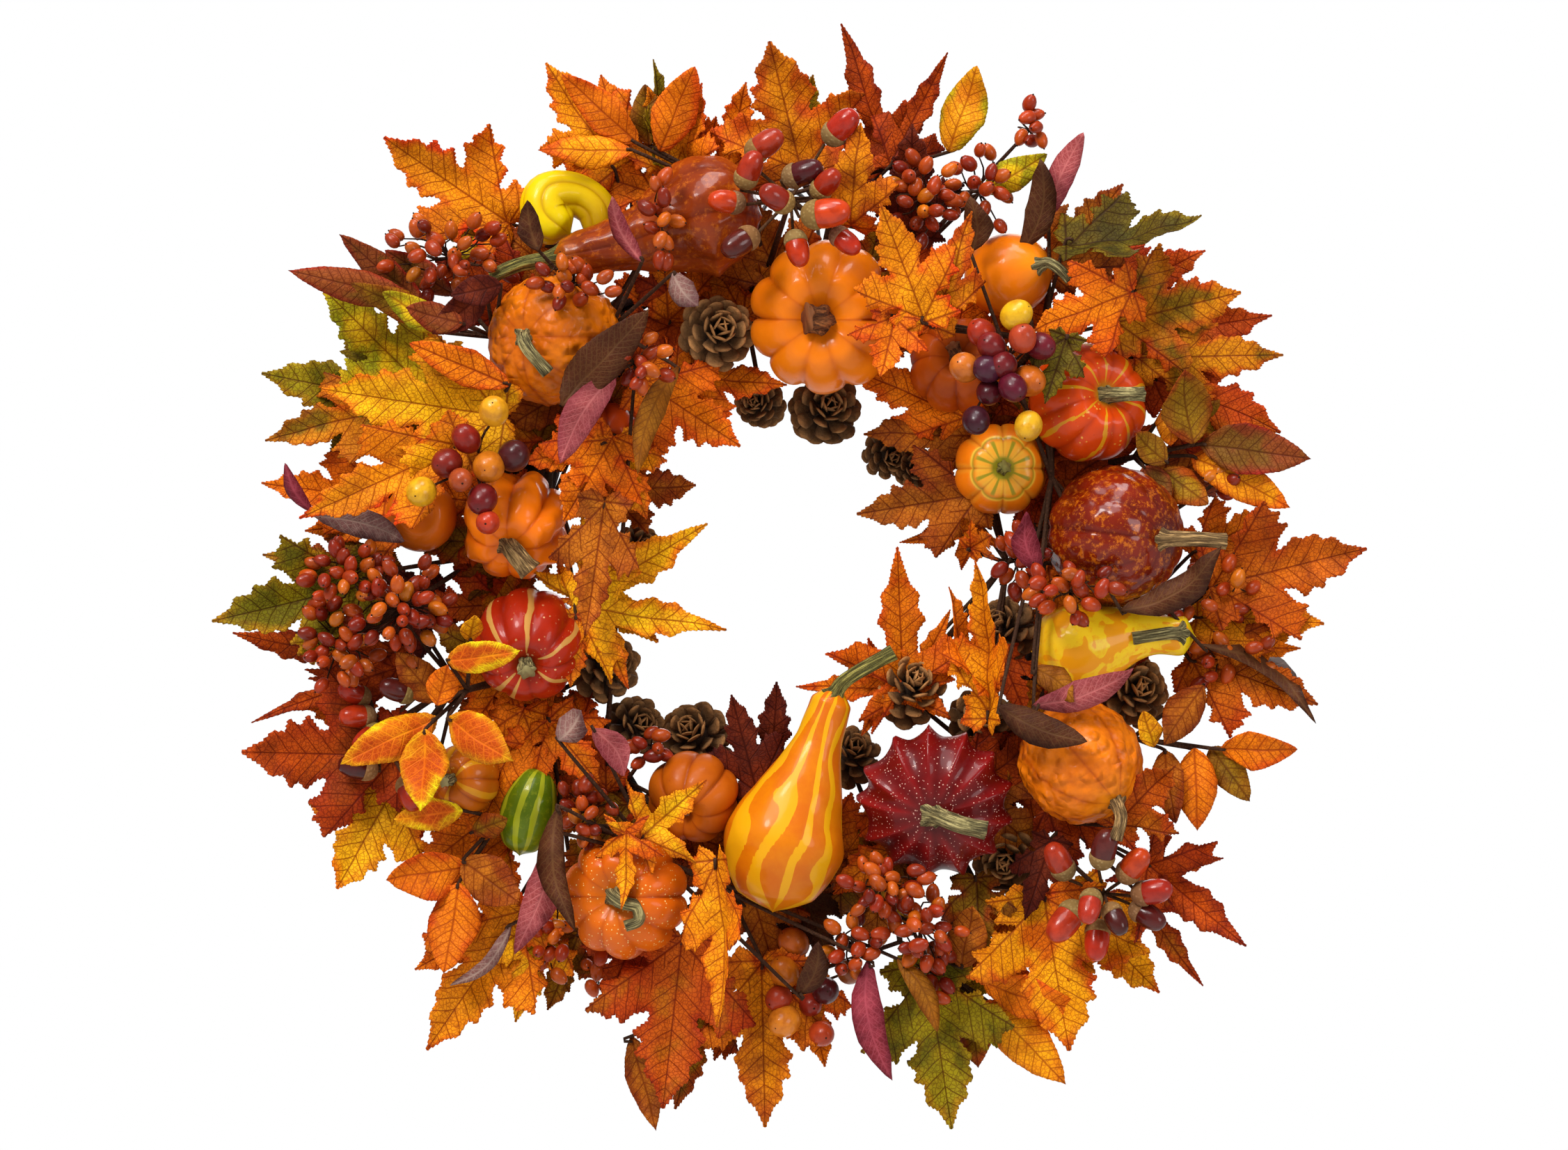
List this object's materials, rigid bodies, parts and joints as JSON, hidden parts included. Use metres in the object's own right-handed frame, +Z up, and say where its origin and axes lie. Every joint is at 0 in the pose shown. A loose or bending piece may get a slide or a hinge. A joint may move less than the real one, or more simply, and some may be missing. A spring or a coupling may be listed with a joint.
{
  "type": "harvest door wreath",
  "caption": "Round door wreath: a twisted vine ring dressed with foam gourds, pine cones, sprays of autumn leaves, berries and acorns, hung by a wire loop at the back.",
  "frame": {"origin": "the top of the hanging loop, where it rests on the door hook", "axes": "+X to the right of someone who faces the wreath, +Y into the door, +Z up"},
  "size_m": [0.6082, 0.1521, 0.5821],
  "materials": {
    "vine": "dark rough bark",
    "steel_wire": "dull galvanised wire",
    "orange_fruit": "painted foam under a satin coat",
    "red_fruit": "painted foam under a satin coat",
    "dark_fruit": "painted foam under a gloss coat",
    "yellow_fruit": "painted foam under a satin coat",
    "green_fruit": "painted foam under a satin coat",
    "pine_cone": "dry brown scales",
    "pip_berry": "lacquered, orange-red",
    "round_berry": "lacquered, in red, orange, yellow and purple",
    "acorn": "lacquered nut in a rough cap",
    "maple_leaf": "printed polyester with veins",
    "oval_leaf": "printed polyester with veins",
    "narrow_leaf": "printed polyester with veins"
  },
  "bodies": {
    "wreath": {"vine_strand_a": "vine", "vine_strand_b": "vine", "vine_strand_c": "vine", "hanger_tie": "steel_wire", "warty_orange_gourd": "orange_fruit", "large_orange_pumpkin": "orange_fruit", "teardrop_gourd": "orange_fruit", "brown_pumpkin": "orange_fruit", "turban_gourd": "orange_fruit", "striped_orange_pumpkin": "red_fruit", "maroon_pumpkin": "dark_fruit", "bumpy_orange_gourd": "orange_fruit", "pattypan_squash": "dark_fruit", "small_brown_pumpkin": "orange_fruit", "speckled_orange_pumpkin": "orange_fruit", "small_striped_pumpkin": "orange_fruit", "red_striped_pumpkin": "red_fruit", "knobbly_orange_pumpkin": "orange_fruit", "left_orange_gourd": "orange_fruit", "inner_red_pumpkin": "red_fruit", "yellow_crookneck_gourd": "yellow_fruit", "dark_swan_gourd": "dark_fruit", "bicolour_gourd": "yellow_fruit", "long_striped_gourd": "orange_fruit", "green_striped_gourd": "green_fruit", "pine_cone_1": "pine_cone", "pine_cone_2": "pine_cone", "pine_cone_3": "pine_cone", "pine_cone_4": "pine_cone", "pine_cone_5": "pine_cone", "pine_cone_6": "pine_cone", "pine_cone_7": "pine_cone", "pine_cone_8": "pine_cone", "berry_spray_top_left": "pip_berry", "berry_spray_top_right": "pip_berry", "berry_spray_right": "pip_berry", "berry_spray_left": "pip_berry", "berry_spray_bottom": "pip_berry", "round_berry_pick_left": "round_berry", "round_berry_pick_right": "round_berry", "acorn_pick_top": "acorn", "acorn_pick_lower_right": "acorn", "maple_spray_top_left": "maple_leaf", "maple_spray_top": "maple_leaf", "maple_spray_top_right": "maple_leaf", "maple_spray_right": "maple_leaf", "maple_spray_lower_right": "maple_leaf", "maple_spray_bottom_right": "maple_leaf", "maple_spray_bottom": "maple_leaf", "maple_spray_bottom_left": "maple_leaf", "maple_spray_left": "maple_leaf", "maple_spray_upper_left": "maple_leaf", "maple_spray_inner_left": "maple_leaf", "maple_spray_inner_right": "maple_leaf", "oval_spray_upper_left": "oval_leaf", "oval_spray_right": "oval_leaf", "oval_spray_lower_right": "oval_leaf", "oval_spray_lower_left": "oval_leaf", "narrow_spray_left": "narrow_leaf"},
    "loop": {"hanging_loop": "steel_wire"}
  },
  "joints": [
    {"name": "loop_swing", "type": "hinge", "parent": "wreath", "child": "loop", "pos_m": [0, 0, -0.0549], "axis": [-1, 0, 0], "range_deg": [0, 180]}
  ]
}
